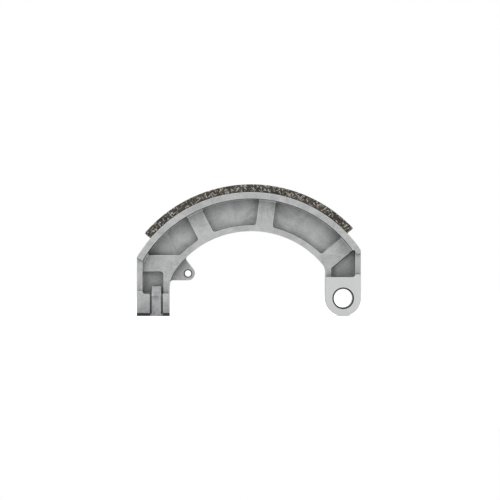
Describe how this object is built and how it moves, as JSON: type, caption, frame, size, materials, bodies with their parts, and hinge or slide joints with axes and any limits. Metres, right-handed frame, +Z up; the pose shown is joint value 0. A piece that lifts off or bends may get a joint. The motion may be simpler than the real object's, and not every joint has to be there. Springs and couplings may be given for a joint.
{
  "type": "drum brake shoe",
  "caption": "Arched brake shoe with a bonded friction lining, ribbed die cast web, pivot eye, spring lug and steel wear plate on the cam end.",
  "frame": {"origin": "centre of the pivot bore on the middle plane", "axes": "+Z up with the arch standing on its ends, +X from the cam end towards the pivot, +Y along the pivot bore"},
  "size_m": [0.1198, 0.025, 0.0704],
  "materials": {
    "casting": "as die cast, fine satin grain, turned bright at the bore and the eye's faces",
    "lining": "ground friction composite, dark, with fine mineral and metal flecks",
    "wear_plate": "cold rolled sheet, fine grain along the strip"
  },
  "bodies": {
    "root": {"shoe_casting": "casting", "friction_lining": "lining", "cam_wear_plate": "wear_plate"}
  },
  "joints": []
}
